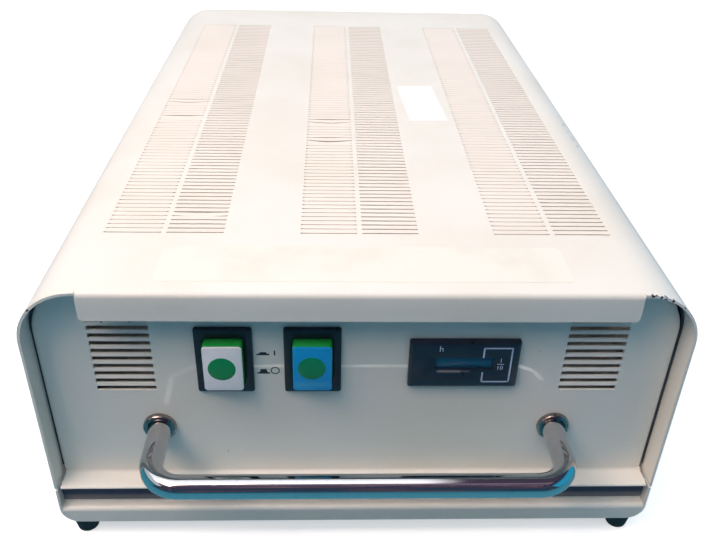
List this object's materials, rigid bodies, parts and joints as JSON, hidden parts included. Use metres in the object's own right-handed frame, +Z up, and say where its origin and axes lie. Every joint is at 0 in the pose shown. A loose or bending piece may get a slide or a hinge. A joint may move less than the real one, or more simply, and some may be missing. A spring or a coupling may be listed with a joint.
{
  "type": "phototherapy light",
  "caption": "Phototherapy light: louvred sheet-steel housing over lamps lying across a clear window, with push-button switches, an hour meter and a tubular handle.",
  "frame": {"origin": "middle of the whole object's box at floor level, under the feet", "axes": "+Z up, +Y from the handle and control panel to the rear panel, +X to the right seen from the front"},
  "size_m": [0.28, 0.4715, 0.1412],
  "materials": {
    "cream_paint": "stove-enamelled sheet steel, cream, satin with a fine orange peel",
    "clear_acrylic": "clear acrylic sheet",
    "zinc_sheet": "zinc-plated sheet steel",
    "rubber": "black moulded rubber",
    "steel": "plain steel",
    "black_plastic": "blue-black moulded plastic",
    "bright_aluminium": "bright anodised reflector sheet",
    "lamp_glass": "phosphor-coated glass tubes on a white moulded base",
    "white_plastic": "white moulded plastic",
    "green_plastic": "translucent green moulded plastic",
    "blue_plastic": "blue moulded plastic",
    "meter_plastic": "blue-black moulded plastic with white print",
    "smoked_window": "smoked clear plastic",
    "drum_plastic": "black drums with white digits",
    "chrome": "polished chrome plate"
  },
  "bodies": {
    "housing": {"top_cover": "cream_paint", "front_panel": "cream_paint", "rear_panel": "cream_paint", "gear_tray": "zinc_sheet", "hinge_pin_left": "steel", "hinge_pin_right": "steel", "handle_screw_left": "steel", "handle_screw_right": "steel", "drum_shaft": "steel", "ballast_1": "steel", "ballast_2": "steel", "ballast_3": "steel", "magnet_catch_left": "black_plastic", "magnet_catch_right": "black_plastic", "white_button_bezel": "black_plastic", "white_switch_body": "black_plastic", "blue_button_bezel": "black_plastic", "blue_switch_body": "black_plastic", "mains_inlet": "black_plastic", "reflector": "bright_aluminium", "lamp_blue_1": "lamp_glass", "lamp_white_1": "lamp_glass", "lamp_blue_2": "lamp_glass", "lamp_blue_3": "lamp_glass", "lamp_white_2": "lamp_glass", "lamp_blue_4": "lamp_glass", "lamp_holder_1": "white_plastic", "lamp_holder_2": "white_plastic", "lamp_holder_3": "white_plastic", "lamp_holder_4": "white_plastic", "lamp_holder_5": "white_plastic", "lamp_holder_6": "white_plastic", "lamp_clip_rail": "white_plastic", "terminal_block": "white_plastic", "meter_case": "meter_plastic", "meter_lens": "smoked_window", "handle": "chrome", "handle_collar_left": "chrome", "handle_collar_right": "chrome"},
    "window_door": {"window_frame": "cream_paint", "filter_pane": "clear_acrylic", "pane_strip_left": "zinc_sheet", "pane_strip_right": "zinc_sheet", "foot_front_left": "rubber", "foot_rear_left": "rubber", "foot_front_right": "rubber", "foot_rear_right": "rubber"},
    "white_button": {"white_button_cap": "green_plastic", "white_cap_face": "white_plastic"},
    "blue_button": {"blue_button_cap": "green_plastic", "blue_cap_face": "blue_plastic"},
    "fuse_drawer": {"fuse_drawer": "black_plastic"},
    "drum_tenths": {"drum_tenths": "drum_plastic"},
    "drum_units": {"drum_units": "drum_plastic"},
    "drum_tens": {"drum_tens": "drum_plastic"},
    "drum_hundreds": {"drum_hundreds": "drum_plastic"},
    "drum_thousands": {"drum_thousands": "drum_plastic"},
    "drum_ten_thousands": {"drum_ten_thousands": "drum_plastic"}
  },
  "joints": [
    {"name": "window_hinge", "type": "hinge", "parent": "housing", "child": "window_door", "pos_m": [0, 0.22548, 0.048], "axis": [1, 0, 0], "range_deg": [0, 90]},
    {"name": "white_button_press", "type": "slide", "parent": "housing", "child": "white_button", "axis": [0, 1, 0], "range_m": [0, 0.0035], "stiffness_N_per_m": 400},
    {"name": "blue_button_press", "type": "slide", "parent": "housing", "child": "blue_button", "axis": [0, 1, 0], "range_m": [0, 0.0035], "stiffness_N_per_m": 400},
    {"name": "fuse_drawer_slide", "type": "slide", "parent": "housing", "child": "fuse_drawer", "axis": [0, 1, 0], "range_m": [0, 0.014]},
    {"name": "drum_ten_thousands_turn", "type": "hinge", "parent": "housing", "child": "drum_ten_thousands", "pos_m": [0.03463, -0.18924, 0.1005], "axis": [1, 0, 0], "continuous": true},
    {"name": "drum_thousands_turn", "type": "hinge", "parent": "housing", "child": "drum_thousands", "pos_m": [0.03879, -0.18924, 0.1005], "axis": [1, 0, 0], "continuous": true},
    {"name": "drum_hundreds_turn", "type": "hinge", "parent": "housing", "child": "drum_hundreds", "pos_m": [0.04294, -0.18924, 0.1005], "axis": [1, 0, 0], "continuous": true},
    {"name": "drum_tens_turn", "type": "hinge", "parent": "housing", "child": "drum_tens", "pos_m": [0.04709, -0.18924, 0.1005], "axis": [1, 0, 0], "continuous": true},
    {"name": "drum_units_turn", "type": "hinge", "parent": "housing", "child": "drum_units", "pos_m": [0.05124, -0.18924, 0.1005], "axis": [1, 0, 0], "continuous": true},
    {"name": "drum_tenths_turn", "type": "hinge", "parent": "housing", "child": "drum_tenths", "pos_m": [0.05538, -0.18924, 0.1005], "axis": [1, 0, 0], "continuous": true}
  ],
  "couplings": [
    {"joint": "drum_units_turn", "follows": "drum_tenths_turn", "ratio": 0.1},
    {"joint": "drum_tens_turn", "follows": "drum_tenths_turn", "ratio": 0.01},
    {"joint": "drum_hundreds_turn", "follows": "drum_tenths_turn", "ratio": 0.001},
    {"joint": "drum_thousands_turn", "follows": "drum_tenths_turn", "ratio": 0.0001},
    {"joint": "drum_ten_thousands_turn", "follows": "drum_tenths_turn", "ratio": 0.00001}
  ]
}
